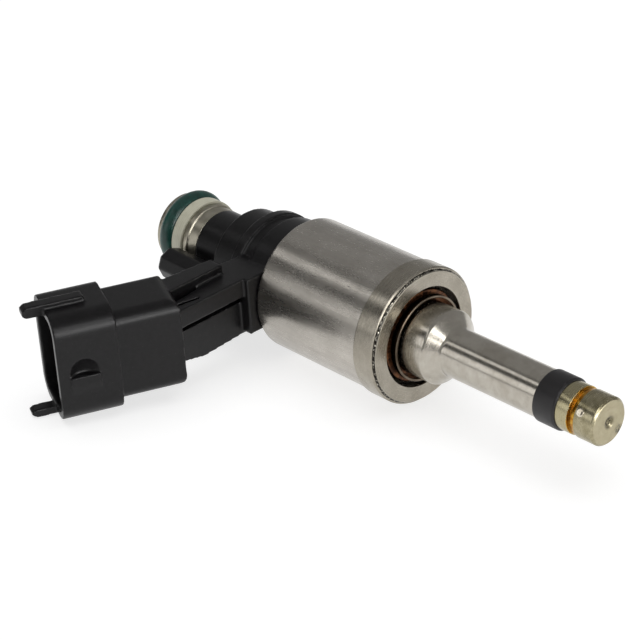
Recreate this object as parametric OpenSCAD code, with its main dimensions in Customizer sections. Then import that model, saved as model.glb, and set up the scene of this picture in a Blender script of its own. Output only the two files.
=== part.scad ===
// High-pressure fuel injector for direct injection, lying on its side.
// The injector's axis is the X axis and +X points out of the nozzle. +Z is up.
// The origin is on the axis, at the middle of the tip seal.
// Stations along the axis are distances behind the nozzle's end face, in mm.

/* [Nozzle] */
// Radius of the nozzle's end
nozzle_r = 3.63; // [3.3:0.01:3.7]
// Outer radius of the tip seal
seal_r = 3.95; // [3.8:0.01:4.05]
// Station where the tip seal starts
seal_start = 6.7; // [6.4:0.1:7]
// Station where the tip seal ends
seal_end = 10.5; // [10:0.1:11]
// Radius of the long nozzle tube
tube_r = 3.68; // [3.6:0.01:3.75]
// Station where the tube widens to the neck
tube_end = 28.2; // [27:0.1:29]
// Radius of the neck behind the cone
neck_r = 5.7; // [5.5:0.05:5.8]
// Radius of the stub that enters the housing
stub_r = 6.15; // [5.9:0.05:6.3]

/* [Housing] */
// Outer radius of the solenoid housing
housing_r = 10.35; // [10.2:0.05:10.5]
// Outer radius of the collar at the housing's front
collar_r = 10.65; // [10.5:0.05:10.9]
// Radius of the recess in the collar's front face
recess_r = 7.77; // [7.5:0.05:8]
// Station of the collar's front face
collar_front = 34.6; // [34:0.1:35]
// Station where the collar meets the housing
housing_front = 38.7; // [38.3:0.1:39]
// Station of the housing's rear rim
housing_rear = 59.4; // [59:0.1:60]
// Wall thickness of the housing
housing_wall = 0.9; // [0.7:0.1:1]

/* [Fuel inlet] */
// Radius of the inlet tube inside the moulding
groove_r = 4.6; // [4.4:0.05:4.7]
// Radius of the groove under the O-ring
seal_groove_r = 3.9; // [3.8:0.05:4]
// Outer radius of the O-ring
oring_r = 6.46; // [6.3:0.01:6.6]
// Station of the O-ring's middle
oring_mid = 85.3; // [85.3:0.1:85.3]
// Outer radius of the backup ring
backup_r = 5.95; // [5.8:0.05:6]
// Radius of the inlet's rear lip
lip_r = 5.6; // [5.5:0.05:5.8]
// Station of the inlet's rear end
inlet_end = 87.8; // [87.6:0.1:88.2]

/* [Connector] */
// Station where the connector's centre line meets the axis
plug_root = 54; // [53:0.5:55]
// Lean of the connector towards the inlet, in degrees
plug_lean = 24; // [20:1:28]
// Dip of the connector below level, in degrees
plug_roll = 3.3; // [3:0.1:4]
// Width of the connector's shroud
shroud_w = 12; // [11.5:0.1:12.5]
// Height of the connector's shroud
shroud_h = 17.1; // [16.5:0.1:17.5]
// Distance from the axis to the shroud's open mouth
mouth = 43.9; // [43:0.1:45]
// Width of the connector's middle part
mid_w = 10.5; // [10:0.1:11]
// Height of the connector's middle part
mid_h = 14.4; // [14:0.1:14.6]
// Distance between the two terminals
terminal_pitch = 6; // [5.8:0.1:6.4]

/* [Valve] */
// Lift of the needle
lift = 0.08; // [0.05:0.01:0.09]
// Radius of the valve ball
ball_r = 1.5; // [1.4:0.01:1.55]
// Radius of the needle's rod
needle_r = 1.1; // [1:0.05:1.2]
// Number of spray holes
spray_holes = 6; // [5:1:8]
// Turns of the closing spring
spring_turns = 7; // [5:1:8]

/* [Hidden] */
$fn = 96;
fit = 0.05;                        // radial clearance of a sliding fit
cut = 0.01;                        // overshoot that keeps cuts clean
origin_at = (seal_start + seal_end) / 2;
ball_at = 3.03;                    // station of the ball's centre, closed
needle_front = ball_at + 1.17;
chamber_r = 4.3;                   // bore that the armature slides in
armature_front = 39.6;
pole_face = 47.5;
air_gap = lift + 0.02;
armature_rear = pole_face - air_gap;
pole_bore = 2.1;
pole_rear = 57.5;
sleeve_r = 5.2;                    // tube inside the coil
spring_front = 49.05;
spring_rear = 57.2;
spring_mid_r = 1.5;
spring_wire_r = 0.27;
mid_rear = 24.8;                   // connector's middle part starts this far out
shroud_rear = 34.7;                // shroud starts this far out
socket_floor = 36;
socket_wall = 1.3;
plug_rise = 0.3;                   // shroud's middle above the terminals' middle
cone_length = 1.8;
mould_end = 78.9;                  // rear end of the moulding's neck
ring_front = 81.8;                 // front face of the backup ring
ring_rear = 84;
lip_front = 86.6;
steel = [0.62, 0.61, 0.58];
bright = [0.74, 0.73, 0.70];
tinted = [0.55, 0.47, 0.33];
plastic = [0.17, 0.165, 0.17];

// Moves to a station on the axis
module at(station) {
    translate([origin_at - station, 0, 0]) children();
}

// Solid of revolution about the axis; points are [station, radius]
module turned(points) {
    rotate([0, 90, 0])
        rotate_extrude()
            polygon([for (p = points) [p[1], origin_at - p[0]]]);
}

// Ring between two stations
module ring(from, to, inner, outer) {
    turned([[from, inner], [from, outer], [to, outer], [to, inner]]);
}

// Connector's own frame: x along its width, y up, z out of its mouth
module at_plug() {
    at(plug_root)
        rotate([plug_roll, 0, 0])
            rotate([0, 0, -plug_lean])
                rotate([90, 0, 0]) children();
}

// Upright block with round vertical corners, centred in x and y
module rounded_block(w, h, r, from, to) {
    translate([0, 0, from]) {
        linear_extrude(to - from) {
            square([w - 2 * r, h], center = true);
            square([w, h - 2 * r], center = true);
            for (sx = [-1, 1], sy = [-1, 1])
                translate([sx * (w / 2 - r), sy * (h / 2 - r)]) circle(r, $fn = 48);
        }
    }
}

// Nozzle end piece: cone seat, sac, spray holes and dimple
module valve_seat() {
    dimple_r = 1;
    rim = 0.35;
    spigot_r = 2.85;
    color(tinted)
        difference() {
            turned([[0, 0], [0, nozzle_r - rim], [rim, nozzle_r], [3.4, nozzle_r],
                    [3.5, nozzle_r - 0.2], [4.6, nozzle_r - 0.2], [4.6, spigot_r],
                    [6.2, spigot_r], [6.2, 0]]);
            turned([[1.15, 0], [1.15, 0.45], [1.5, 0.6], [2.6, 1.7],
                    [2.6, ball_r + fit], [6.3, ball_r + fit], [6.3, 0]]);
            turned([[-cut, 0], [-cut, dimple_r], [0.5, 0]]);
            for (i = [0:spray_holes - 1])
                at(1.5) rotate([i * 360 / spray_holes, 0, 0])
                    rotate([0, 90 + 14, 0]) cylinder(h = 2.4, r = 0.1, $fn = 24);
            for (i = [0:4])
                at(6.3) rotate([i * 72, 0, 0])
                    translate([0, 0, ball_r + 0.1]) rotate([0, 90, 0])
                        cylinder(h = 3.6, r = 0.4, $fn = 32);
        }
}

// Long tube, cone, neck and stub in one turned piece
module valve_body() {
    seat_r = 2.85;
    bore_r = 2.4;
    color(bright)
        turned([[4.6, seat_r], [4.6, nozzle_r], [seal_start, nozzle_r],
                [seal_start, seal_r - 0.75], [seal_end, seal_r - 0.75], [seal_end, tube_r],
                [tube_end, tube_r], [tube_end + cone_length, neck_r], [36.6, neck_r],
                [36.6, stub_r], [41.2, stub_r],
                [41.2, sleeve_r], [45.5, sleeve_r], [45.5, chamber_r], [38, chamber_r],
                [36.5, bore_r + 0.6], [36.5, bore_r], [6.2, bore_r], [6.2, seat_r]]);
}

// Sleeve seal that keeps combustion gas off the nozzle bore
module tip_seal() {
    color([0.06, 0.06, 0.06])
        turned([[seal_start, seal_r - 0.75], [seal_start, seal_r - 0.12],
                [seal_start + 0.12, seal_r], [seal_end - 0.12, seal_r],
                [seal_end, seal_r - 0.12], [seal_end, seal_r - 0.75]]);
}

// Guide pressed into the valve body's bore, with fuel passages
module needle_guide() {
    color(steel)
        difference() {
            ring(30, 33, needle_r + fit, 2.4);
            for (i = [0:3])
                at(33.1) rotate([i * 90, 0, 0])
                    translate([0, 0, 1.75]) rotate([0, 90, 0])
                        cylinder(h = 3.2, r = 0.4, $fn = 32);
        }
}

// Ball that closes the cone seat
module valve_ball() {
    color(bright)
        difference() {
            at(ball_at) sphere(ball_r);
            ring(needle_front, needle_front + 1, 0, ball_r);
        }
}

// Rod from the ball to the armature
module needle() {
    color(steel) ring(needle_front, 49, 0, needle_r);
}

// Sliding core pulled by the coil, with fuel passages
module armature() {
    color(steel)
        difference() {
            ring(armature_front, armature_rear, needle_r, chamber_r - fit);
            for (i = [0:3])
                at(armature_rear + 0.1) rotate([45 + i * 90, 0, 0])
                    translate([0, 0, 2.75]) rotate([0, 90, 0])
                        cylinder(h = 8.2, r = 0.55, $fn = 32);
        }
}

// Collar on the needle that the spring pushes on
module stop_sleeve() {
    color(bright)
        ring(armature_rear, 49, needle_r, pole_bore - 0.1);
}

// Points of a circle of wire at angle a of the closing spring
function wire_ring(a, sides) = [
    for (k = [0:sides - 1])
        let (c = 360 * k / sides,
             r = spring_mid_r + spring_wire_r * cos(c),
             x = spring_front + spring_wire_r
                 + (spring_rear - spring_front - 2 * spring_wire_r)
                 * a / (360 * spring_turns) + spring_wire_r * sin(c))
        [origin_at - x, r * cos(a), r * sin(a)]
];

// Helical wire that pushes the needle shut
module closing_spring() {
    sides = 8;
    steps = spring_turns * 20;
    points = [for (i = [0:steps]) each wire_ring(i * 360 * spring_turns / steps, sides)];
    walls = [for (i = [0:steps - 1], k = [0:sides - 1])
        [i * sides + k, i * sides + (k + 1) % sides,
         (i + 1) * sides + (k + 1) % sides, (i + 1) * sides + k]];
    ends = [[for (k = [sides - 1:-1:0]) k], [for (k = [0:sides - 1]) steps * sides + k]];
    color(steel) polyhedron(points, concat(walls, ends), convexity = 10);
}

// Tube pressed in behind the spring to set its force
module adjusting_sleeve() {
    color(bright) ring(spring_rear, 63, 1.2, pole_bore);
}

// Fixed core that attracts the armature
module pole_core() {
    color(steel)
        turned([[pole_face, pole_bore], [pole_face, chamber_r - fit],
                [49.5, chamber_r - fit], [49.5, sleeve_r], [pole_rear, sleeve_r],
                [pole_rear, pole_bore]]);
}

// Non-magnetic ring welded between the valve body and the pole core
module spacer_ring() {
    color(bright) ring(45.5, 49.5, chamber_r, sleeve_r);
}

// Plastic former that carries the winding
module coil_bobbin() {
    color([0.75, 0.72, 0.62])
        turned([[42, sleeve_r + fit], [42, 9.3], [43, 9.3], [43, 5.95], [54, 5.95],
                [54, 9.3], [55, 9.3], [55, sleeve_r + fit]]);
}

// Copper winding on the former
module coil_winding() {
    color([0.62, 0.32, 0.16]) ring(43.05, 53.95, 6, 8.7);
}

// Slot that lets a winding lead through the flux washer
module lead_slot() {
    translate([-0.6, 0, 0]) cube([3.6, 1.6, 3.4]);
}

// Steel washer that closes the magnetic circuit behind the coil
module flux_washer() {
    color(steel)
        difference() {
            ring(55.1, 57.4, sleeve_r, housing_r - housing_wall);
            for (side = [-1, 1])
                at(57.5) rotate([plug_roll, 0, 0])
                    translate([0, -6.6, side * terminal_pitch / 2 - 0.8])
                        rotate([90, 0, 0]) lead_slot();
        }
}

// Thin ring that stands round the neck at the mouth of the recess
module support_ring() {
    color([0.66, 0.65, 0.60]) ring(33.9, 35.3, neck_r + 0.55, neck_r + 0.95);
}

// Soft metal washer that damps the injector on its seat
module copper_washer() {
    color([0.55, 0.34, 0.22]) ring(35.3, 36.6, neck_r, neck_r + 1.5);
}

// Stepped ring round the housing's front, with the seating face
module housing_collar() {
    color([0.60, 0.59, 0.53])
        turned([[collar_front, recess_r], [collar_front, collar_r - 0.6],
                [collar_front + 0.1, collar_r - 0.5], [collar_front + 0.1, collar_r - 0.7],
                [collar_front + 0.45, collar_r - 0.7], [collar_front + 0.45, collar_r - 0.2],
                [collar_front + 0.65, collar_r], [housing_front, collar_r],
                [housing_front, recess_r]]);
}

// Deep-drawn cup that holds the coil
module solenoid_housing() {
    inner = housing_r - housing_wall;
    color(steel)
        turned([[housing_front, stub_r], [housing_front, housing_r],
                [housing_rear - 0.5, housing_r], [housing_rear - 0.15, housing_r - 0.15],
                [housing_rear, housing_r - 0.45], [housing_rear, inner],
                [41.2, inner], [41.2, stub_r]]);
}

// Fuel tube from the pole core to the rear lip
module inlet_tube() {
    mouth_r = 3.1;
    color(bright)
        turned([[pole_rear, pole_bore], [pole_rear, sleeve_r], [58.5, sleeve_r],
                [58.5, groove_r], [mould_end, groove_r], [mould_end, 5.35],
                [ring_front - 1.1, 5.35], [ring_front - 0.9, 5.6], [ring_front, 5.6],
                [ring_front, seal_groove_r], [lip_front, seal_groove_r],
                [lip_front, lip_r - 0.1], [lip_front + 0.1, lip_r], [inlet_end - 0.4, lip_r],
                [inlet_end, lip_r - 0.5], [inlet_end, mouth_r + 0.5],
                [inlet_end - 0.5, mouth_r], [65, mouth_r], [64, pole_bore]]);
}

// Basket strainer pressed into the inlet
module inlet_filter() {
    color([0.72, 0.70, 0.60])
        difference() {
            turned([[68, 0], [68, 2.1], [84, 2.5], [84, 3.1], [86, 3.1], [86, 2.1],
                    [69, 1.6], [69, 0]]);
            for (i = [0:3])
                at(81) rotate([i * 90, 0, 0])
                    translate([0, -0.9, 1]) cube([10, 1.8, 3]);
        }
}

// Rubber ring that seals the inlet in the fuel rail
module inlet_oring() {
    wire = (oring_r - seal_groove_r) / 2;
    color([0.07, 0.22, 0.19])
        at(oring_mid) rotate([0, 90, 0])
            rotate_extrude() translate([seal_groove_r + wire, 0]) circle(wire, $fn = 48);
}

// Hard ring that stops the O-ring being squeezed out
module backup_ring() {
    color([0.74, 0.73, 0.65])
        turned([[ring_front, seal_groove_r], [ring_front, backup_r - 0.15],
                [ring_front + 0.15, backup_r], [ring_rear - 0.2, backup_r],
                [ring_rear, backup_r - 0.2], [ring_rear, seal_groove_r]]);
}

// One blade and its leg down to the coil; side is 1 for the upper, -1 for the lower
module terminal(side) {
    wide = 1;
    thick = 0.64;
    leg_x = 3.4;
    bend = 22;
    foot = 9.4;
    tip = 42;
    at_plug()
        translate([0, side * terminal_pitch / 2 - wide / 2, 0]) {
            translate([-thick / 2, 0, bend]) cube([thick, wide, tip - bend]);
            translate([-leg_x, 0, foot]) cube([thick, wide, bend + thick - foot]);
            translate([-leg_x, 0, bend]) cube([leg_x, wide, thick]);
        }
}

module terminal_upper() {
    color([0.72, 0.62, 0.34]) terminal(1);
}

module terminal_lower() {
    color([0.72, 0.62, 0.34]) terminal(-1);
}

// Round part of the moulding behind the housing
module mould_body() {
    skirt_r = housing_r - housing_wall - 0.02;
    bore = sleeve_r + 0.02;
    band_r = 9;
    turned([[57.45, bore], [57.45, skirt_r], [housing_rear + 0.1, skirt_r],
            [housing_rear + 0.1, band_r], [63.9, band_r], [63.9, 8.4], [65.9, 8.4],
            [65.9, band_r], [67.5, band_r], [67.5, 7.8], [72.2, 7.8], [72.2, 5.35],
            [mould_end, 5.35], [mould_end, groove_r], [58.5, groove_r], [58.5, bore]]);
}

// Block of the arm: stations t, distances out u and heights v, each [from, to]
module arm_block(t, u, v) {
    rotate([plug_roll, 0, 0])
        translate([origin_at - t[1], -u[1], v[0]])
            cube([t[1] - t[0], u[1] - u[0], v[1] - v[0]]);
}

// Upright prism of the arm on [station, distance out] points
module arm_prism(points, v) {
    rotate([plug_roll, 0, 0])
        translate([0, 0, v[0]])
            linear_extrude(v[1] - v[0])
                polygon([for (p = points) [origin_at - p[0], -p[1]]]);
}

// Web of the arm on [distance out, height] points, between two stations
module arm_web(points, t) {
    rotate([plug_roll, 0, 0])
        translate([origin_at - t[0], 0, 0])
            rotate([0, -90, 0])
                linear_extrude(t[1] - t[0])
                    polygon([for (p = points) [p[1], -p[0]]]);
}

// Ribbed arm that carries the connector out from the round body
module arm() {
    top = 5.3;
    difference() {
        arm_prism([[60.3, 6], [60.3, 25.6], [66, 22.6], [66, 6]], [-3.8, top]);
        arm_prism([[61.4, 6], [61.4, 27], [59, 27], [59, 6]], [-6, 1]);
        arm_prism([[62.8, 6], [62.8, 27], [59, 27], [59, 6]], [1, 2.3]);
        arm_prism([[63.9, 24], [63.9, 14], [62.9, 24]], [3.9, 7]);
        arm_prism([[62.6, 24], [61.6, 19.4], [61.1, 19.6], [62, 24]], [3.9, 7]);
    }
    arm_web([[9, -4.4], [19.5, -4.9], [24.5, -3.8], [24.5, -3.2], [9, -3.2]], [61.4, 66]);
    arm_prism([[63.9, 6], [63.9, 23], [67.6, 21.2], [66, 6]], [-4.6, top]);
    arm_prism([[63.9, 12.6], [63.9, 23], [67.6, 21.2], [66.6, 12.6]], [top - cut, 6.8]);
}

// Finger beside the inlet that locates the injector in its holder
module locating_lug() {
    lug_r = 2.6;
    rotate([plug_roll, 0, 0]) {
        at(82.2) translate([0, -8.2, -1]) rotate([0, 90, 0]) {
            translate([0, 0, 0.6]) cylinder(h = 14.9, r = lug_r, $fn = 8);
            cylinder(h = 0.6, r1 = lug_r - 0.5, r2 = lug_r, $fn = 8);
        }
        at(74) translate([0, -11.5, -3.8]) cube([8, 6, 5.4]);
    }
}

// Plate of the moulding that stands behind the housing's rim
module rim_plate() {
    arm_block([housing_rear + 0.1, 61.4], [7.5, 11.7], [-4, 5.3]);
}

// Middle part of the connector with rounded rear corners
module connector_middle() {
    rear_round = 1.6;
    length = shroud_rear - mid_rear;
    intersection() {
        rounded_block(mid_w, mid_h, 2, mid_rear, shroud_rear + cut);
        translate([0, 0, mid_rear + length / 2 + rear_round])
            rotate([0, 90, 0])
                rounded_block(length + 2 * rear_round, mid_h, rear_round,
                              -mid_w / 2, mid_w / 2);
    }
}

// Shroud and middle part of the connector
module connector_shell() {
    translate([0, plug_rise, 0]) connector_middle();
    translate([0, plug_rise, 0]) difference() {
        rounded_block(shroud_w, shroud_h, 3, shroud_rear, mouth);
        rounded_block(shroud_w - 2 * socket_wall, shroud_h - 2 * socket_wall, 1.8,
                      socket_floor, mouth + 1);
        translate([shroud_w / 2 + 2.3, -0.2, 40]) sphere(3.2);
    }
    lock_ramp();
    translate([0, plug_rise, 0])
        for (side = [-1, 1]) guide_prong(side);
}

// Ramp that the harness plug's latch snaps over
module lock_ramp() {
    face = shroud_w / 2;
    translate([0, 0, 37.8])
        linear_extrude(4.4)
            polygon([[face - 1, -0.4], [face + 0.4, -0.4], [face + 0.3, -1.8],
                     [face, -3.4], [face - 1, -3.4]]);
}

// Prong above or below the mouth that keys the harness plug
module guide_prong(side) {
    root = side > 0 ? 37.4 : 41;
    tip = side > 0 ? 47.1 : 47.6;
    half = 0.95;
    inner = shroud_h / 2 - 0.9;
    outer = shroud_h / 2 + (side > 0 ? 0.9 : 0.4);
    translate([0.3 - half, 0, 0])
        rotate([90, 0, 90])
            linear_extrude(2 * half)
                polygon([[side * inner, root], [side * outer, root + 0.6],
                         [side * outer, tip - 0.7], [side * (outer - 0.5), tip],
                         [side * (inner + 0.4), tip], [side * inner, tip - 0.6]]);
}

// One moulding: round body, arm, lug and connector
module overmould() {
    color(plastic)
        difference() {
            union() {
                mould_body();
                difference() {
                    union() {
                        arm();
                        locating_lug();
                        rim_plate();
                    }
                    ring(40, housing_rear + 0.1, 0, 14);
                    ring(50, 67.5, 0, 8.2);
                    ring(67.4, 72.2, 0, 7.6);
                    ring(72.1, 90, 0, 6.4);
                }
                at_plug() connector_shell();
            }
            terminal(1);
            terminal(-1);
        }
}

valve_seat();
valve_body();
tip_seal();
needle_guide();
valve_ball();
needle();
armature();
stop_sleeve();
closing_spring();
adjusting_sleeve();
pole_core();
spacer_ring();
coil_bobbin();
coil_winding();
flux_washer();
support_ring();
copper_washer();
housing_collar();
solenoid_housing();
inlet_tube();
inlet_filter();
inlet_oring();
backup_ring();
overmould();
terminal_upper();
terminal_lower();
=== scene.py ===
"""Looks of the fuel injector: finer turned metal, moulded plastic, rubber and the studio."""

import math

import bmesh
import bpy
from mathutils import Matrix, Vector, noise


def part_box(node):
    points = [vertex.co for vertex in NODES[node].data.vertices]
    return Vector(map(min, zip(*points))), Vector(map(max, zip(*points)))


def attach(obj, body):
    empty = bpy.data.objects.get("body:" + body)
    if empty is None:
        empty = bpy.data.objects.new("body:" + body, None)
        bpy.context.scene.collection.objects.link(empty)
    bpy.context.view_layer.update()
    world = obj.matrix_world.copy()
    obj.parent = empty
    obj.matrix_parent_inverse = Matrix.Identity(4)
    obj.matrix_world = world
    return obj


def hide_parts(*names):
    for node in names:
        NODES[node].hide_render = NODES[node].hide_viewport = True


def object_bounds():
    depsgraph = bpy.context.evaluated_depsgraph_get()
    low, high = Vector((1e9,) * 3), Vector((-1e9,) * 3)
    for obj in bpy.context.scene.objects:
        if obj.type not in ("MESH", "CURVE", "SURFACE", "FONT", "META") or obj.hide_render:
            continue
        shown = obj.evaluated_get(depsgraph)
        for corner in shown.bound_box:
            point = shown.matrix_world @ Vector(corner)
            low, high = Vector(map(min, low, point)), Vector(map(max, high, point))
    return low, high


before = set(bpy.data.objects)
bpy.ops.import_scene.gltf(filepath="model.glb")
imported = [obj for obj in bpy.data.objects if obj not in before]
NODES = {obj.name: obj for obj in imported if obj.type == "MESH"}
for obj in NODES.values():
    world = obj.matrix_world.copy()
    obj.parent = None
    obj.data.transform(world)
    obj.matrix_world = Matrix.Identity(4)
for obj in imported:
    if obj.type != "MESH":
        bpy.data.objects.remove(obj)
CAD_BOUNDS = [[float(v) for v in corner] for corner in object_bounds()]
MM = 0.001
STILL = "injector"
TAU = 2 * math.pi

# Sizes that the frame's boxes don't give, in mm.
GROOVE_WIDTH = 1.15        # heat-tinted groove behind the nozzle end
GROOVE_DEPTH = 0.2
SOCKET_R = 2.85            # bore of the tube's front, where the nozzle end sits
SEAT_BORE_R = 1.55         # bore of the nozzle end, round the valve ball
DIMPLE_R = 1.0             # hollow in the middle of the tip
DIMPLE_DEPTH = 0.5
SAC_DEPTH = 1.15           # from the tip to the small space below the ball
SPRAY_HOLES = 6
SPRAY_HOLE_R = 0.1
SPOT_ANGLE = 150           # weld spot's bearing round the axis, in degrees
SPOT_STATION = 2.6         # its distance behind the tip
SPOT_R = 0.66
TUBE_LENGTH = 17.7         # thin part of the nozzle behind its seal
CONE_LENGTH = 1.8
TUBE_BORE_R = 2.4
RING_WALL = 0.4            # support ring's thickness
RING_GAP = 0.95            # from the support ring's outside in to the neck
SPIGOT_R = 5.2             # where the nozzle body and the inlet tube go into the magnet
SPIGOT_LENGTH = 4.3
ARMATURE_BORE_R = 4.3
RECESS_R = 7.77            # collar's bore
CUP_WALL = 0.9             # solenoid housing's thickness
INLET_R = 4.6              # inlet tube under the moulding
INLET_BORE_R = 3.1
CORE_BORE_R = 2.1          # narrow part of the inlet tube's bore
LIP_WIDTH = 0.85           # inlet tube's rim behind the O-ring


# ---------------------------------------------------------------- places

def front(node):
    """X of the node's end nearest the nozzle, in mm."""
    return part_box(node)[1][0] / MM


def back(node):
    """X of the node's end nearest the inlet, in mm."""
    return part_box(node)[0][0] / MM


def radius(node):
    """Outer radius of a turned node, in mm."""
    return (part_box(node)[1][2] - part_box(node)[0][2]) / 2 / MM


# ---------------------------------------------------------------- meshes

def finish_piece(obj, name, replaced=(), body=STILL):
    """Links a piece, smooths its shading and gives it its place in the frame."""
    obj.name = name
    bpy.context.scene.collection.objects.link(obj)
    for face in obj.data.polygons:
        face.use_smooth = True
    weighted = obj.modifiers.new("weighted", "WEIGHTED_NORMAL")
    weighted.weight = 80
    weighted.keep_sharp = True
    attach(obj, body)
    if replaced:
        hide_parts(*replaced)
    return obj


def rounded(profile, steps=4):
    """Closed profile of (x, r, fillet) corners as points, each corner rounded by its fillet."""
    points = []
    count = len(profile)
    for i, (x, r, fillet) in enumerate(profile):
        here = Vector((x, r))
        before = Vector(profile[i - 1][:2]) - here
        after = Vector(profile[(i + 1) % count][:2]) - here
        if fillet <= 0 or before.length < 1e-6 or after.length < 1e-6:
            points.append(here)
            continue
        angle = before.angle(after)
        if angle > math.radians(178):
            points.append(here)
            continue
        reach = min(fillet / math.tan(angle / 2), before.length * 0.48, after.length * 0.48)
        start = here + before.normalized() * reach
        end = here + after.normalized() * reach
        for k in range(steps + 1):
            t = k / steps
            points.append(start * (1 - t) ** 2 + here * 2 * t * (1 - t) + end * t * t)
    return points


def turned(name, profile, replaced=(), steps=200, wobble=None):
    """Piece turned about the injector's axis from (x, r, fillet) corners, in mm."""
    points = rounded(profile)
    bm = bmesh.new()
    rings = []
    for p in points:
        if p.y < 1e-5:
            rings.append([bm.verts.new((p.x * MM, 0, 0))])
            continue
        ring = []
        for k in range(steps):
            a = TAU * k / steps
            r = p.y + (wobble(p.x, p.y, a) if wobble else 0)
            ring.append(bm.verts.new((p.x * MM, r * math.cos(a) * MM, r * math.sin(a) * MM)))
        rings.append(ring)
    for i, ring in enumerate(rings):
        other = rings[(i + 1) % len(rings)]
        if len(ring) == 1 and len(other) == 1:
            continue
        for k in range(steps):
            j = (k + 1) % steps
            corners = [ring[k % len(ring)], ring[j % len(ring)],
                       other[j % len(other)], other[k % len(other)]]
            bm.faces.new(list(dict.fromkeys(corners)))
    bmesh.ops.recalc_face_normals(bm, faces=bm.faces)
    mesh = bpy.data.meshes.new(name)
    bm.to_mesh(mesh)
    bm.free()
    return finish_piece(bpy.data.objects.new(name, mesh), name, replaced)


def evaluated_mesh(obj):
    """The object's mesh with its modifiers applied."""
    graph = bpy.context.evaluated_depsgraph_get()
    return bpy.data.meshes.new_from_object(obj.evaluated_get(graph))


def moulded(name, node, voxel, smoothing):
    """Copy of a CAD node with the soft edges of a moulding."""
    rough = bpy.data.objects.new("rough", NODES[node].data.copy())
    bpy.context.scene.collection.objects.link(rough)
    remesh = rough.modifiers.new("remesh", "REMESH")
    remesh.mode = "VOXEL"
    remesh.voxel_size = voxel * MM
    smooth = rough.modifiers.new("smooth", "SMOOTH")
    smooth.factor = 0.5
    smooth.iterations = smoothing
    bpy.context.view_layer.update()
    mesh = evaluated_mesh(rough)
    bpy.data.objects.remove(rough)
    mesh.materials.clear()
    return finish_piece(bpy.data.objects.new(name, mesh), name, [node])


# ---------------------------------------------------------------- materials

class Paint:
    """Short-hand for a procedural material. Coordinates are in millimetres."""

    def __init__(self, name):
        self.material = bpy.data.materials.new(name)
        self.material.use_nodes = True
        self.tree = self.material.node_tree
        self.shader = self.tree.nodes["Principled BSDF"]
        place = self.add("ShaderNodeTexCoord")
        self.mm = self.vector("SCALE", place.outputs["Object"], scale=1 / MM)
        split = self.add("ShaderNodeSeparateXYZ")
        self.join(self.mm, split.inputs[0])
        self.x = split.outputs[0]
        across = self.add("ShaderNodeCombineXYZ")
        self.join(split.outputs[1], across.inputs[1])
        self.join(split.outputs[2], across.inputs[2])
        self.r = self.vector("LENGTH", across.outputs[0], out="Value")

    def add(self, kind, **settings):
        node = self.tree.nodes.new(kind)
        for key, value in settings.items():
            setattr(node, key, value)
        return node

    def join(self, source, target):
        if isinstance(source, (int, float)):
            target.default_value = source
        else:
            self.tree.links.new(source, target)

    def vector(self, operation, a, b=None, scale=None, out="Vector"):
        node = self.add("ShaderNodeVectorMath", operation=operation)
        self.join(a, node.inputs[0])
        if b is not None:
            node.inputs[1].default_value = b
        if scale is not None:
            node.inputs["Scale"].default_value = scale
        return node.outputs[out]

    def math(self, operation, a, b=0.0, c=None, clamp=False):
        node = self.add("ShaderNodeMath", operation=operation, use_clamp=clamp)
        self.join(a, node.inputs[0])
        self.join(b, node.inputs[1])
        if c is not None:
            self.join(c, node.inputs[2])
        return node.outputs[0]

    def noise(self, scale, detail=3, rough=0.55, stretch=None, where=None):
        source = where or self.mm
        if stretch:
            source = self.vector("MULTIPLY", source, stretch)
        node = self.add("ShaderNodeTexNoise")
        self.join(source, node.inputs["Vector"])
        node.inputs["Scale"].default_value = scale
        node.inputs["Detail"].default_value = detail
        node.inputs["Roughness"].default_value = rough
        return node.outputs["Fac"]

    def specks(self, scale, size, spread=0.02):
        """Small round marks: 1 inside a mark, 0 outside."""
        node = self.add("ShaderNodeTexVoronoi")
        self.join(self.mm, node.inputs["Vector"])
        node.inputs["Scale"].default_value = scale
        return self.span(node.outputs["Distance"], size + spread, size, 0, 1)

    def lathe(self, along, across, bend=0.6):
        """Noise of fine turning marks: rings on round faces and circles on end faces."""
        wander = self.math("MULTIPLY", self.noise(0.25, 2), bend)
        x = self.math("ADD", self.math("MULTIPLY", self.x, along), wander)
        r = self.math("MULTIPLY", self.r, across)
        place = self.add("ShaderNodeCombineXYZ")
        self.join(x, place.inputs[0])
        self.join(r, place.inputs[1])
        return self.noise(1.0, 4, 0.7, where=place.outputs[0])

    def span(self, value, low, high, to_low=0.0, to_high=1.0):
        node = self.add("ShaderNodeMapRange")
        self.join(value, node.inputs["Value"])
        for key, v in (("From Min", low), ("From Max", high),
                       ("To Min", to_low), ("To Max", to_high)):
            node.inputs[key].default_value = v
        return node.outputs[0]

    def mix(self, amount, a, b):
        node = self.add("ShaderNodeMix", data_type="RGBA")
        self.join(amount, node.inputs["Factor"])
        for value, socket in ((a, node.inputs[6]), (b, node.inputs[7])):
            if isinstance(value, tuple):
                socket.default_value = (*value, 1)
            else:
                self.join(value, socket)
        return node.outputs[2]

    def colour(self, source):
        self.join(source, self.shader.inputs["Base Color"])

    def roughness(self, source):
        self.join(source, self.shader.inputs["Roughness"])

    def bump(self, layers):
        """layers: (height, distance in mm, strength) from the coarsest to the finest."""
        last = None
        for height, distance, strength in layers:
            node = self.add("ShaderNodeBump")
            node.inputs["Distance"].default_value = distance * MM
            node.inputs["Strength"].default_value = strength
            self.join(height, node.inputs["Height"])
            if last is not None:
                self.tree.links.new(last, node.inputs["Normal"])
            last = node.outputs["Normal"]
        self.tree.links.new(last, self.shader.inputs["Normal"])

    def set(self, **values):
        for key, value in values.items():
            self.shader.inputs[key.replace("_", " ")].default_value = value


def rgb(code):
    """Linear colour of an sRGB hex code."""
    parts = [int(code[i:i + 2], 16) / 255 for i in (0, 2, 4)]
    return tuple(p / 12.92 if p <= 0.04045 else ((p + 0.055) / 1.055) ** 2.4 for p in parts)


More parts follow.
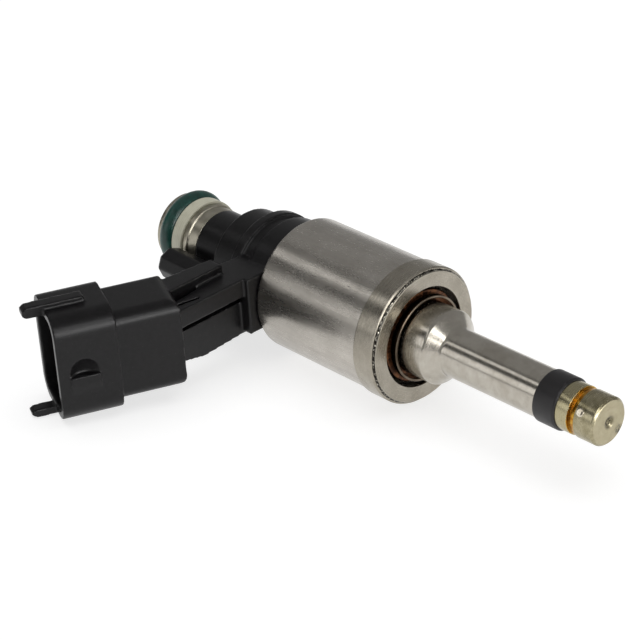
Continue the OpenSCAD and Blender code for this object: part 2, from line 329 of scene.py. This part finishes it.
def turned_steel(name, light, dark, rough, marks=9, dirt="5c564c", wear=0.5):
    """Turned or drawn metal: lathe marks, broad shade changes, pits and rub marks."""
    p = Paint(name)
    p.set(Metallic=1.0)
    rings = p.lathe(marks, marks)
    clouds = p.noise(0.35, 4, 0.6)
    stains = p.span(p.noise(0.8, 5, 0.65), 0.52, 0.72)
    pits = p.specks(2.2, 0.07)
    base = p.mix(p.span(clouds, 0.35, 0.65), rgb(dark), rgb(light))
    base = p.mix(p.math("MULTIPLY", p.span(rings, 0.35, 0.7), 0.35), base, rgb(dark))
    base = p.mix(p.math("MULTIPLY", stains, 0.22 * wear), base, rgb(dirt))
    base = p.mix(p.math("MULTIPLY", pits, 0.6 * wear), base, rgb("38332d"))
    p.colour(base)
    gloss = p.math("ADD", p.span(rings, 0.3, 0.7, rough - 0.05, rough + 0.07),
                   p.math("MULTIPLY", stains, 0.14 * wear))
    p.roughness(gloss)
    p.bump([(clouds, 0.02, 0.25), (rings, 0.006, 0.5), (pits, -0.02, 0.6 * wear)])
    return p


def plain_steel(name, light, dark, rough):
    """Turned steel's material with the usual marks."""
    return turned_steel(name, light, dark, rough).material


def housing_steel():
    """Satin drawn steel with soft lengthwise smears, fine rings and small specks."""
    p = Paint("housing_steel")
    p.set(Metallic=1.0)
    rings = p.lathe(14, 14, 0.3)
    smear = p.noise(1.0, 4, 0.6, stretch=(0.12, 0.9, 0.9))
    clouds = p.noise(0.25, 5, 0.6)
    specks = p.specks(1.5, 0.045)
    bright = p.specks(2.6, 0.035)
    scratches = p.span(p.noise(1.0, 2, 0.5, stretch=(0.6, 7, 5)), 0.68, 0.72)
    base = p.mix(p.span(clouds, 0.3, 0.7), rgb("aea9a1"), rgb("bfbab2"))
    base = p.mix(p.math("MULTIPLY", p.span(smear, 0.4, 0.7), 0.25), base, rgb("97918a"))
    base = p.mix(p.math("MULTIPLY", specks, 0.7), base, rgb("3d3934"))
    base = p.mix(p.math("MULTIPLY", bright, 0.6), base, rgb("d8d4cc"))
    p.colour(base)
    p.roughness(p.math("ADD", p.span(smear, 0.3, 0.7, 0.24, 0.31),
                       p.math("MULTIPLY", scratches, 0.1)))
    p.bump([(clouds, 0.05, 0.2), (rings, 0.008, 0.35), (specks, -0.03, 0.7),
            (scratches, -0.006, 0.5)])
    return p.material


def tinted_steel(name, tip_x, groove):
    """Steel near the flame: olive tip, orange-brown groove, straw collar behind it."""
    p = Paint(name)
    p.set(Metallic=1.0)
    rings = p.lathe(10, 8)
    clouds = p.noise(0.9, 5, 0.65)
    stains = p.span(p.noise(1.6, 5, 0.7), 0.55, 0.75)
    wobble = p.math("ADD", p.x, p.span(clouds, 0, 1, -0.25, 0.25))
    olive = p.mix(p.span(clouds, 0.35, 0.65), rgb("8c8468"), rgb("aba388"))
    straw = p.mix(p.span(rings, 0.3, 0.7), rgb("988f6c"), rgb("b9b194"))
    burnt = p.mix(p.span(clouds, 0.4, 0.6), rgb("a8701c"), rgb("c9a040"))
    behind = p.span(wobble, groove[0] - 0.05, groove[0] + 0.05, 1, 0)
    ahead = p.span(wobble, groove[1] - 0.05, groove[1] + 0.05, 0, 1)
    base = p.mix(behind, burnt, straw)
    base = p.mix(ahead, base, olive)
    base = p.mix(p.math("MULTIPLY", stains, 0.3), base, rgb("4a4334"))
    face = p.span(p.x, tip_x - 0.12, tip_x - 0.02)
    base = p.mix(p.math("MULTIPLY", face, 0.6), base, rgb("b3aa90"))
    # Painted shade in the tip's central hollow: the colour darkens within about 1 mm of the
    # axis, just behind the face.
    dimple_shade = p.math("MULTIPLY", p.span(p.r, 1.15, 0.8), p.span(p.x, tip_x - 0.8, tip_x - 0.6))
    base = p.mix(p.math("MULTIPLY", dimple_shade, 0.55), base, rgb("4f493a"))
    place = p.vector("SUBTRACT", p.mm, (tip_x, 2.0, -1.8))
    near = p.span(p.vector("LENGTH", place, out="Value"), 0.9, 0.5)
    scuff = p.span(p.noise(2.5, 3, 0.7, stretch=(1, 3, 1)), 0.5, 0.56)
    scuff = p.math("MULTIPLY", near, scuff)
    base = p.mix(scuff, base, rgb("3f3c39"))
    p.colour(base)
    p.roughness(p.math("ADD", p.span(rings, 0.3, 0.7, 0.2, 0.32),
                       p.math("ADD", p.math("MULTIPLY", face, 0.18),
                              p.math("MULTIPLY", stains, 0.12))))
    p.bump([(clouds, 0.02, 0.3), (rings, 0.006, 0.5), (scuff, -0.02, 0.6)])
    return p.material


def black_plastic():
    """Glass-filled moulding: fine spark-eroded grain, pale rub marks and dust."""
    p = Paint("moulding_black")
    p.set(Specular_IOR_Level=0.27)
    grain = p.noise(9, 3, 0.6)
    coarse = p.noise(1.2, 4, 0.6)
    rubs = p.span(p.noise(0.8, 5, 0.7, stretch=(1, 1, 2.2)), 0.6, 0.78)
    dust = p.specks(1.7, 0.05)
    base = p.mix(p.span(coarse, 0.3, 0.7), rgb("0b0a0b"), rgb("131213"))
    base = p.mix(p.math("MULTIPLY", rubs, 0.3), base, rgb("2a2829"))
    base = p.mix(p.math("MULTIPLY", dust, 0.4), base, rgb("5f5c59"))
    p.colour(base)
    p.roughness(p.math("ADD", p.span(grain, 0.3, 0.7, 0.3, 0.4),
                       p.math("MULTIPLY", rubs, -0.06)))
    p.bump([(coarse, 0.05, 0.25), (grain, 0.02, 0.35)])
    return p.material


def rubber(name, dark, light, rough):
    """Moulded rubber with a soft bloom."""
    p = Paint(name)
    bloom = p.noise(0.9, 4, 0.6)
    grain = p.noise(12, 3, 0.6)
    lint = p.specks(2.4, 0.04)
    base = p.mix(p.span(bloom, 0.35, 0.7), rgb(dark), rgb(light))
    base = p.mix(p.math("MULTIPLY", lint, 0.4), base, rgb("8a8a84"))
    p.colour(base)
    p.roughness(p.span(bloom, 0.3, 0.7, rough - 0.06, rough + 0.08))
    p.bump([(bloom, 0.03, 0.2), (grain, 0.01, 0.3)])
    return p.material


def pale_plastic(name, dark, light, rough=0.45):
    """Natural plastic with turning marks and faint handling stains."""
    p = Paint(name)
    rings = p.lathe(7, 7)
    stains = p.span(p.noise(0.8, 5, 0.6), 0.5, 0.75)
    base = p.mix(p.span(rings, 0.3, 0.7), rgb(dark), rgb(light))
    base = p.mix(p.math("MULTIPLY", stains, 0.3), base, rgb("8f8a72"))
    p.colour(base)
    p.roughness(p.span(rings, 0.3, 0.7, rough - 0.05, rough + 0.08))
    p.bump([(stains, 0.02, 0.2), (rings, 0.008, 0.35)])
    return p.material


def copper(name, light, dark, rough=0.3):
    """Soft copper alloy gone brown in patches."""
    p = Paint(name)
    p.set(Metallic=1.0)
    rings = p.lathe(8, 8)
    patches = p.noise(1.1, 5, 0.65)
    base = p.mix(p.span(patches, 0.35, 0.65), rgb(dark), rgb(light))
    p.colour(base)
    p.roughness(p.span(patches, 0.3, 0.7, rough, rough + 0.2))
    p.bump([(patches, 0.02, 0.3), (rings, 0.006, 0.4)])
    return p.material


def paint(obj, material):
    """Gives a piece or a CAD node one material."""
    if obj.material_slots:
        for slot in obj.material_slots:
            slot.material = material
    else:
        obj.data.materials.append(material)
    return obj


# ---------------------------------------------------------------- pieces

def drill(obj, holes, radius_mm):
    """Cuts thin round holes, each from a start point to an end point in mm, into obj."""
    bm = bmesh.new()
    for start, end in holes:
        axis = end - start
        place = Matrix.Translation((start + end) / 2 * MM)
        place = place @ axis.to_track_quat("Z", "Y").to_matrix().to_4x4()
        bmesh.ops.create_cone(bm, cap_ends=True, segments=16, radius1=radius_mm * MM,
                              radius2=radius_mm * MM, depth=axis.length * MM, matrix=place)
    mesh = bpy.data.meshes.new("drill")
    bm.to_mesh(mesh)
    bm.free()
    tool = bpy.data.objects.new("drill", mesh)
    bpy.context.scene.collection.objects.link(tool)
    cutter = obj.modifiers.new("cut", "BOOLEAN")
    cutter.object = tool
    bpy.context.view_layer.update()
    result = evaluated_mesh(obj)
    obj.modifiers.remove(cutter)
    obj.data = result
    bpy.data.objects.remove(tool)


def nozzle_pieces(steel):
    """Nozzle end, long tube with cone, neck and stub, and the tip seal."""
    tip = front("valve_seat")
    r = radius("valve_seat")
    groove = (front("valve_body"), front("valve_body") + GROOVE_WIDTH)
    seat_back = back("valve_seat")
    tint = tinted_steel("tip_steel", tip, groove)
    seat = turned("nozzle_end", [
        (tip, DIMPLE_R, 0.05), (tip, r - 0.38, 0.25), (tip - 0.38, r, 0.25),
        (groove[1] + 0.05, r, 0.06), (groove[1] - 0.1, r - GROOVE_DEPTH, 0.06),
        (groove[0], r - GROOVE_DEPTH, 0), (groove[0], SOCKET_R, 0), (seat_back, SOCKET_R, 0.05),
        (seat_back, SEAT_BORE_R, 0), (tip - 2.6, SEAT_BORE_R, 0), (tip - 1.5, 0.6, 0),
        (tip - SAC_DEPTH, 0.45, 0), (tip - SAC_DEPTH, 0, 0), (tip - DIMPLE_DEPTH, 0, 0)],
        ["valve_seat"])
    holes = []
    for k in range(SPRAY_HOLES):
        angle = TAU * k / SPRAY_HOLES
        out = Vector((0, math.cos(angle), math.sin(angle)))
        inside = Vector((tip - 0.9, 0, 0)) + out * 0.3
        outside = Vector((tip + 0.2, 0, 0)) + out * 0.5
        holes.append((inside, outside))
    drill(seat, holes, SPRAY_HOLE_R)
    paint(seat, tint)

    seal_front = front("tip_seal")
    seal_back = back("tip_seal")
    seal_r = radius("tip_seal")
    stub_r = radius("valve_body")
    neck_r = radius("support_ring") - RING_GAP
    tube_r = seal_r - 0.27
    base_r = seal_r - 0.75
    cone = seal_back - TUBE_LENGTH
    rear = back("valve_body")
    washer = back("copper_washer")
    body = turned("valve_body_tube", [
        (groove[0], SOCKET_R, 0), (groove[0], r, 0.08), (seal_front + 0.02, r, 0.06),
        (seal_front, base_r, 0), (seal_back, base_r, 0), (seal_back, tube_r, 0.08),
        (cone, tube_r, 0.7), (cone - CONE_LENGTH, neck_r, 0.6), (washer, neck_r, 0),
        (washer, stub_r, 0), (rear + SPIGOT_LENGTH, stub_r, 0.05),
        (rear + SPIGOT_LENGTH, SPIGOT_R, 0), (rear, SPIGOT_R, 0.05),
        (rear, ARMATURE_BORE_R, 0.05), (cone - 9.8, ARMATURE_BORE_R, 0), (cone - 8.3, 3, 0),
        (cone - 8.3, TUBE_BORE_R, 0), (groove[0] - 1.6, TUBE_BORE_R, 0),
        (groove[0] - 1.6, SOCKET_R, 0)],
        ["valve_body"])
    paint(body, steel)
    body.data.materials.append(tint)
    for face in body.data.polygons:
        if face.center.x > (seal_front - 0.1) * MM:
            face.material_index = 1

    seal = turned("tip_seal_sleeve", [
        (seal_front, base_r, 0), (seal_front, seal_r - 0.2, 0.1),
        (seal_front - 0.3, seal_r, 0.3), (seal_back, seal_r, 0.14), (seal_back, base_r, 0)],
        ["tip_seal"])
    paint(seal, rubber("seal_black", "121011", "191718", 0.45))
    return tip, r


def laser_spot(tip, r):
    """Small round weld mark in front of the groove."""
    angle = math.radians(SPOT_ANGLE)
    centre = Vector((tip - SPOT_STATION, 0, 0)) * MM
    bm = bmesh.new()
    rings = []
    steps = 36
    # share of the spot's radius, and height over the nozzle's surface in mm
    shape = [(0.0, 0.02), (0.3, 0.03), (0.55, 0.05), (0.75, 0.08), (0.9, 0.06), (1.0, -0.08)]
    for reach, height in shape:
        ring = []
        for k in range(steps if reach else 1):
            a = TAU * k / steps
            u = SPOT_R * reach * math.cos(a)
            v = SPOT_R * reach * math.sin(a)
            turn = angle + v / r
            high = r + height
            ring.append(bm.verts.new(centre + Vector(
                (u, high * math.cos(turn), high * math.sin(turn))) * MM))
        rings.append(ring)
    for a, b in zip(rings, rings[1:]):
        for k in range(steps):
            j = (k + 1) % steps
            corners = [a[k % len(a)], a[j % len(a)], b[j], b[k]]
            bm.faces.new(list(dict.fromkeys(corners)))
    bmesh.ops.recalc_face_normals(bm, faces=bm.faces)
    mesh = bpy.data.meshes.new("weld_spot")
    bm.to_mesh(mesh)
    bm.free()
    spot = finish_piece(bpy.data.objects.new("weld_spot", mesh), "weld_spot")
    return paint(spot, plain_steel("spot_steel", "e0dacb", "a89c84", 0.12))


def recess_rings():
    """Thin standing ring and soft washer in the collar's recess."""
    outer = radius("support_ring")
    inner = outer - RING_WALL
    ring = turned("support_ring_fine", [
        (front("support_ring"), inner, 0.15), (front("support_ring"), outer, 0.15),
        (back("support_ring"), outer, 0.05), (back("support_ring"), inner, 0.05)],
        ["support_ring"])
    # Painted shade: the support ring's steel is coloured dark brown, far darker than the other
    # steel, for the dark recess it stands in.
    paint(ring, plain_steel("ring_steel", "837769", "4f453a", 0.16))
    neck_r = outer - RING_GAP
    washer_r = radius("copper_washer")
    washer = turned("copper_washer_fine", [
        (front("copper_washer"), neck_r, 0.02), (front("copper_washer"), washer_r, 0.3),
        (back("copper_washer"), washer_r, 0.1), (back("copper_washer"), neck_r, 0.02)],
        ["copper_washer"])
    paint(washer, copper("copper_washer", "6f4a31", "33221a", 0.18))


def collar_pieces():
    """Stepped collar with its seating face, and the ragged weld bead round its edge."""
    face = front("housing_collar")
    rear = back("housing_collar")
    r = radius("housing_collar")
    collar = turned("collar_ring", [
        (face, RECESS_R, 0.15), (face, r - 0.55, 0.08), (face - 0.12, r - 0.48, 0.03),
        (face - 0.13, r - 0.7, 0.02), (face - 0.45, r - 0.7, 0.02),
        (face - 0.46, r - 0.2, 0.06), (face - 0.65, r, 0.1), (rear, r, 0.16),
        (rear, RECESS_R, 0)], ["housing_collar"])
    paint(collar, plain_steel("collar_steel", "a8a296", "979185", 0.25))

    def ragged(x, ring_r, a):
        """Uneven height of the bead; its foot in the groove stays round."""
        if ring_r < r - 0.6:
            return 0
        spot = Vector((math.cos(a) * 26, math.sin(a) * 26, x * 2.2))
        return 0.13 * noise.noise(spot) + 0.07 * noise.noise(spot * 3)

    bead = turned("weld_bead", [
        (face - 0.09, r - 0.72, 0), (face - 0.09, r - 0.62, 0.03),
        (face - 0.17, r - 0.5, 0.03), (face - 0.27, r - 0.41, 0.03),
        (face - 0.37, r - 0.35, 0.03), (face - 0.46, r - 0.33, 0.03),
        (face - 0.46, r - 0.72, 0)],
        steps=900, wobble=ragged)
    p = Paint("bead_steel")
    p.set(Metallic=1.0)
    # Painted light: the bead's near-black and pale ticks stand in for the shade and glints
    # among its ripples; the pale ticks are also glossier.
    ticks = p.noise(3.4, 4, 0.75)
    p.colour(p.mix(p.span(ticks, 0.5, 0.6), rgb("15120f"), rgb("b9b4a8")))
    p.roughness(p.span(ticks, 0.4, 0.6, 0.45, 0.16))
    p.bump([(ticks, 0.1, 0.9)])
    paint(bead, p.material)


def housing_piece():
    """Drawn cup with a rolled rear rim."""
    front_x = front("solenoid_housing")
    rear = back("solenoid_housing")
    r = radius("solenoid_housing")
    inner = r - CUP_WALL
    stub = radius("valve_body")
    cup = turned("housing_cup", [
        (front_x, stub, 0), (front_x, r, 0.1), (rear, r, 0.45), (rear, inner, 0.15),
        (front_x - 2.5, inner, 0.2), (front_x - 2.5, stub, 0)],
        ["solenoid_housing"], steps=256)
    paint(cup, housing_steel())


def inlet_pieces():
    """Inlet tube with its stepped shoulder and lip, O-ring and backup ring."""
    rear = back("inlet_tube")
    nose = front("inlet_tube")
    lip_r = radius("inlet_tube")
    ring_front = front("backup_ring")
    ring_back = back("backup_ring")
    wire = (front("inlet_oring") - back("inlet_oring")) / 2
    centre_r = radius("inlet_oring") - wire
    groove_r = centre_r - wire
    bore = INLET_BORE_R
    lip = rear + LIP_WIDTH
    tube = turned("inlet_tube_fine", [
        (nose, CORE_BORE_R, 0), (nose, SPIGOT_R, 0), (nose - 1, SPIGOT_R, 0),
        (nose - 1, INLET_R, 0), (ring_front + 2.9, INLET_R, 0), (ring_front + 2.9, 5.35, 0.1),
        (ring_front + 1.1, 5.35, 0.08), (ring_front + 0.95, 5.6, 0.1),
        (ring_front, 5.6, 0.08), (ring_front, groove_r, 0.05),
        (lip, groove_r, 0.05), (lip, lip_r, 0.1), (rear, lip_r, 0.3),
        (rear, bore + 0.4, 0.1), (rear + 0.5, bore, 0.1), (rear + 22.8, bore, 0.3),
        (rear + 23.8, CORE_BORE_R, 0.1)], ["inlet_tube"])
    paint(tube, plain_steel("inlet_steel", "b9b4a5", "989384", 0.34))

    backup_r = radius("backup_ring")
    backup = turned("backup_ring_fine", [
        (ring_front, groove_r, 0), (ring_front, backup_r, 0.2),
        (ring_back, backup_r, 0.25), (ring_back, groove_r, 0)],
        ["backup_ring"])
    paint(backup, pale_plastic("backup_plastic", "bbb8a3", "cfcdba"))

    along = wire * 1.14        # squeezed between the rings, so fuller than its wire
    across = wire * 1.07
    middle = ring_back - along
    turns = [TAU * k / 48 for k in range(48)]
    loop = [(middle + along * math.cos(a), centre_r + across * math.sin(a), 0) for a in turns]
    oring = turned("inlet_oring_fine", loop, ["inlet_oring"])
    paint(oring, rubber("oring_rubber", "0a322b", "12453c", 0.34))


def moulding_piece():
    """The black moulding, softened, in grained plastic."""
    piece = moulded("overmould_body", "overmould", 0.16, 4)
    paint(piece, black_plastic())


def inner_nodes(steel):
    """Finishes for the CAD nodes that stay as they are."""
    finishes = {
        "coil_bobbin": pale_plastic("bobbin_plastic", "b5af97", "cbc6b0"),
        "inlet_filter": pale_plastic("filter_plastic", "b0aa90", "c8c3ad", 0.5),
        "coil_winding": copper("winding_copper", "b5622c", "7d3f1b"),
    }
    blades = copper("terminal_metal", "c9ad68", "94793f", 0.22)
    finishes["terminal_upper"] = blades
    finishes["terminal_lower"] = blades
    for name in ("needle_guide", "valve_ball", "needle", "armature", "stop_sleeve",
                 "closing_spring", "adjusting_sleeve", "pole_core", "spacer_ring",
                 "flux_washer"):
        finishes[name] = steel
    for name, material in finishes.items():
        paint(NODES[name], material)


# ---------------------------------------------------------------- studio

def look_at(obj, target, roll=0.0):
    """Turns obj's -Z towards target, with a roll in degrees."""
    turn = (Vector(target) - obj.location).to_track_quat("-Z", "Y").to_matrix()
    obj.rotation_euler = (turn @ Matrix.Rotation(math.radians(roll), 3, "Z")).to_euler()


def around(target, azimuth, elevation, distance):
    """Point at a bearing from the target; azimuth 0 is on -Y and 90 is on +X."""
    az = math.radians(azimuth)
    el = math.radians(elevation)
    out = Vector((math.sin(az) * math.cos(el), -math.cos(az) * math.cos(el), math.sin(el)))
    return Vector(target) + out * distance


# The photo's camera, from the fit to the round sections.
AIM = Vector((-45.19, -2.63, -3.39)) * MM
VIEW_AZIMUTH = 46.39
VIEW_ELEVATION = 28.14
VIEW_DISTANCE = 346.3 * MM
VIEW_ROLL = -0.9
LENS = 129.4


def camera():
    """The photo's view of the injector."""
    data = bpy.data.cameras.new("camera")
    data.lens = LENS
    data.sensor_width = 36
    data.clip_start = 0.01
    data.clip_end = 20
    obj = bpy.data.objects.new("camera", data)
    bpy.context.scene.collection.objects.link(obj)
    obj.location = around(AIM, VIEW_AZIMUTH, VIEW_ELEVATION, VIEW_DISTANCE)
    look_at(obj, AIM, VIEW_ROLL)
    bpy.context.scene.camera = obj


def floor():
    """Pale sheet that the injector lies on."""
    size = 6.0
    level = CAD_BOUNDS[0][2]
    mesh = bpy.data.meshes.new("floor")
    mesh.from_pydata([(-size, -size, level), (size, -size, level),
                      (size, size, level), (-size, size, level)], [], [(0, 1, 2, 3)])
    obj = bpy.data.objects.new("floor", mesh)
    bpy.context.scene.collection.objects.link(obj)
    material = bpy.data.materials.new("floor_white")
    material.use_nodes = True
    material.cycles.emission_sampling = "NONE"
    shader = material.node_tree.nodes["Principled BSDF"]
    shader.inputs["Base Color"].default_value = (0.46, 0.46, 0.46, 1)
    shader.inputs["Roughness"].default_value = 0.9
    shader.inputs["Specular IOR Level"].default_value = 0.0
    shader.inputs["Emission Color"].default_value = (1, 1, 1, 1)
    shader.inputs["Emission Strength"].default_value = 0.72
    mesh.materials.append(material)


def glow_material(name, strength):
    """Even white glow that lights nothing by itself."""
    material = bpy.data.materials.new(name)
    material.use_nodes = True
    material.cycles.emission_sampling = "NONE"
    tree = material.node_tree
    tree.nodes.clear()
    glow = tree.nodes.new("ShaderNodeEmission")
    glow.inputs["Strength"].default_value = strength
    out = tree.nodes.new("ShaderNodeOutputMaterial")
    tree.links.new(glow.outputs[0], out.inputs[0])
    return material


def backdrop():
    """White wall far off on all sides, which only the camera sees."""
    wide = 5.9
    tall = 6.0
    level = CAD_BOUNDS[0][2] - 0.01
    bm = bmesh.new()
    bmesh.ops.create_cone(bm, cap_ends=True, segments=96, radius1=wide, radius2=wide,
                          depth=tall, matrix=Matrix.Translation((0, 0, level + tall / 2)))
    mesh = bpy.data.meshes.new("backdrop")
    bm.to_mesh(mesh)
    bm.free()
    obj = bpy.data.objects.new("backdrop", mesh)
    bpy.context.scene.collection.objects.link(obj)
    mesh.materials.append(glow_material("backdrop_white", 1.0))
    obj.visible_diffuse = False
    obj.visible_glossy = False
    obj.visible_transmission = False
    obj.visible_shadow = False


def card(name, place, size, strength, blocks):
    """Panel seen only in reflections: a light strip, or a dark flag that blocks the sky."""
    x, y = size[0] / 2, size[1] / 2
    mesh = bpy.data.meshes.new(name)
    mesh.from_pydata([(-x, -y, 0), (x, -y, 0), (x, y, 0), (-x, y, 0)], [], [(0, 1, 2, 3)])
    obj = bpy.data.objects.new(name, mesh)
    bpy.context.scene.collection.objects.link(obj)
    obj.location = place
    look_at(obj, AIM)
    mesh.materials.append(glow_material(name, strength))
    obj.visible_camera = False
    obj.visible_diffuse = False
    obj.visible_shadow = blocks
    obj.visible_transmission = False


def soft_light(name, azimuth, elevation, distance, size, power):
    """Large light that fills the matt surfaces and stays out of the reflections."""
    data = bpy.data.lights.new(name, "AREA")
    data.shape = "RECTANGLE"
    data.size = size[0]
    data.size_y = size[1]
    data.energy = power
    obj = bpy.data.objects.new(name, data)
    bpy.context.scene.collection.objects.link(obj)
    obj.location = around(AIM, azimuth, elevation, distance)
    look_at(obj, AIM)
    obj.visible_glossy = False
    return obj


def studio():
    """Grey surround, a soft light above, and strips and flags for the bare metal."""
    world = bpy.data.worlds.new("studio")
    bpy.context.scene.world = world
    world.use_nodes = True
    background = world.node_tree.nodes["Background"]
    background.inputs["Color"].default_value = (1, 1, 1, 1)
    background.inputs["Strength"].default_value = 0.34
    soft_light("overhead", 0, 88, 1.2, (1.6, 1.6), 9)
    # name, azimuth, elevation, distance, (width, height), strength, blocks
    panels = [
        ("flag_above", -40, 43, 0.8, (1.3, 0.36), 0.02, True),
        ("flag_side", -66, 14, 0.82, (0.64, 0.44), 0.03, True),
        ("strip", -22.5, 17, 0.75, (0.5, 0.28), 1.35, False),
        ("strip_high", -30, 47, 0.74, (1.1, 0.1), 1.5, False),
        ("strip_plug", 88, 14, 0.75, (0.7, 0.26), 8, False),
        ("strip_cone", 70, 38, 0.75, (0.24, 0.14), 6, False),
    ]
    for name, azimuth, elevation, distance, size, strength, blocks in panels:
        card(name, around(AIM, azimuth, elevation, distance), size, strength, blocks)
    bpy.context.scene.view_settings.view_transform = "Standard"


def build():
    """The whole scene, pieces from the nozzle to the inlet."""
    camera()
    floor()
    backdrop()
    studio()
    steel = plain_steel("nozzle_steel", "bcb7ad", "aba59a", 0.19)
    tip, r = nozzle_pieces(steel)
    laser_spot(tip, r)
    recess_rings()
    collar_pieces()
    housing_piece()
    inlet_pieces()
    moulding_piece()
    inner_nodes(plain_steel("inner_steel", "a5a29a", "85827a", 0.28))


build()
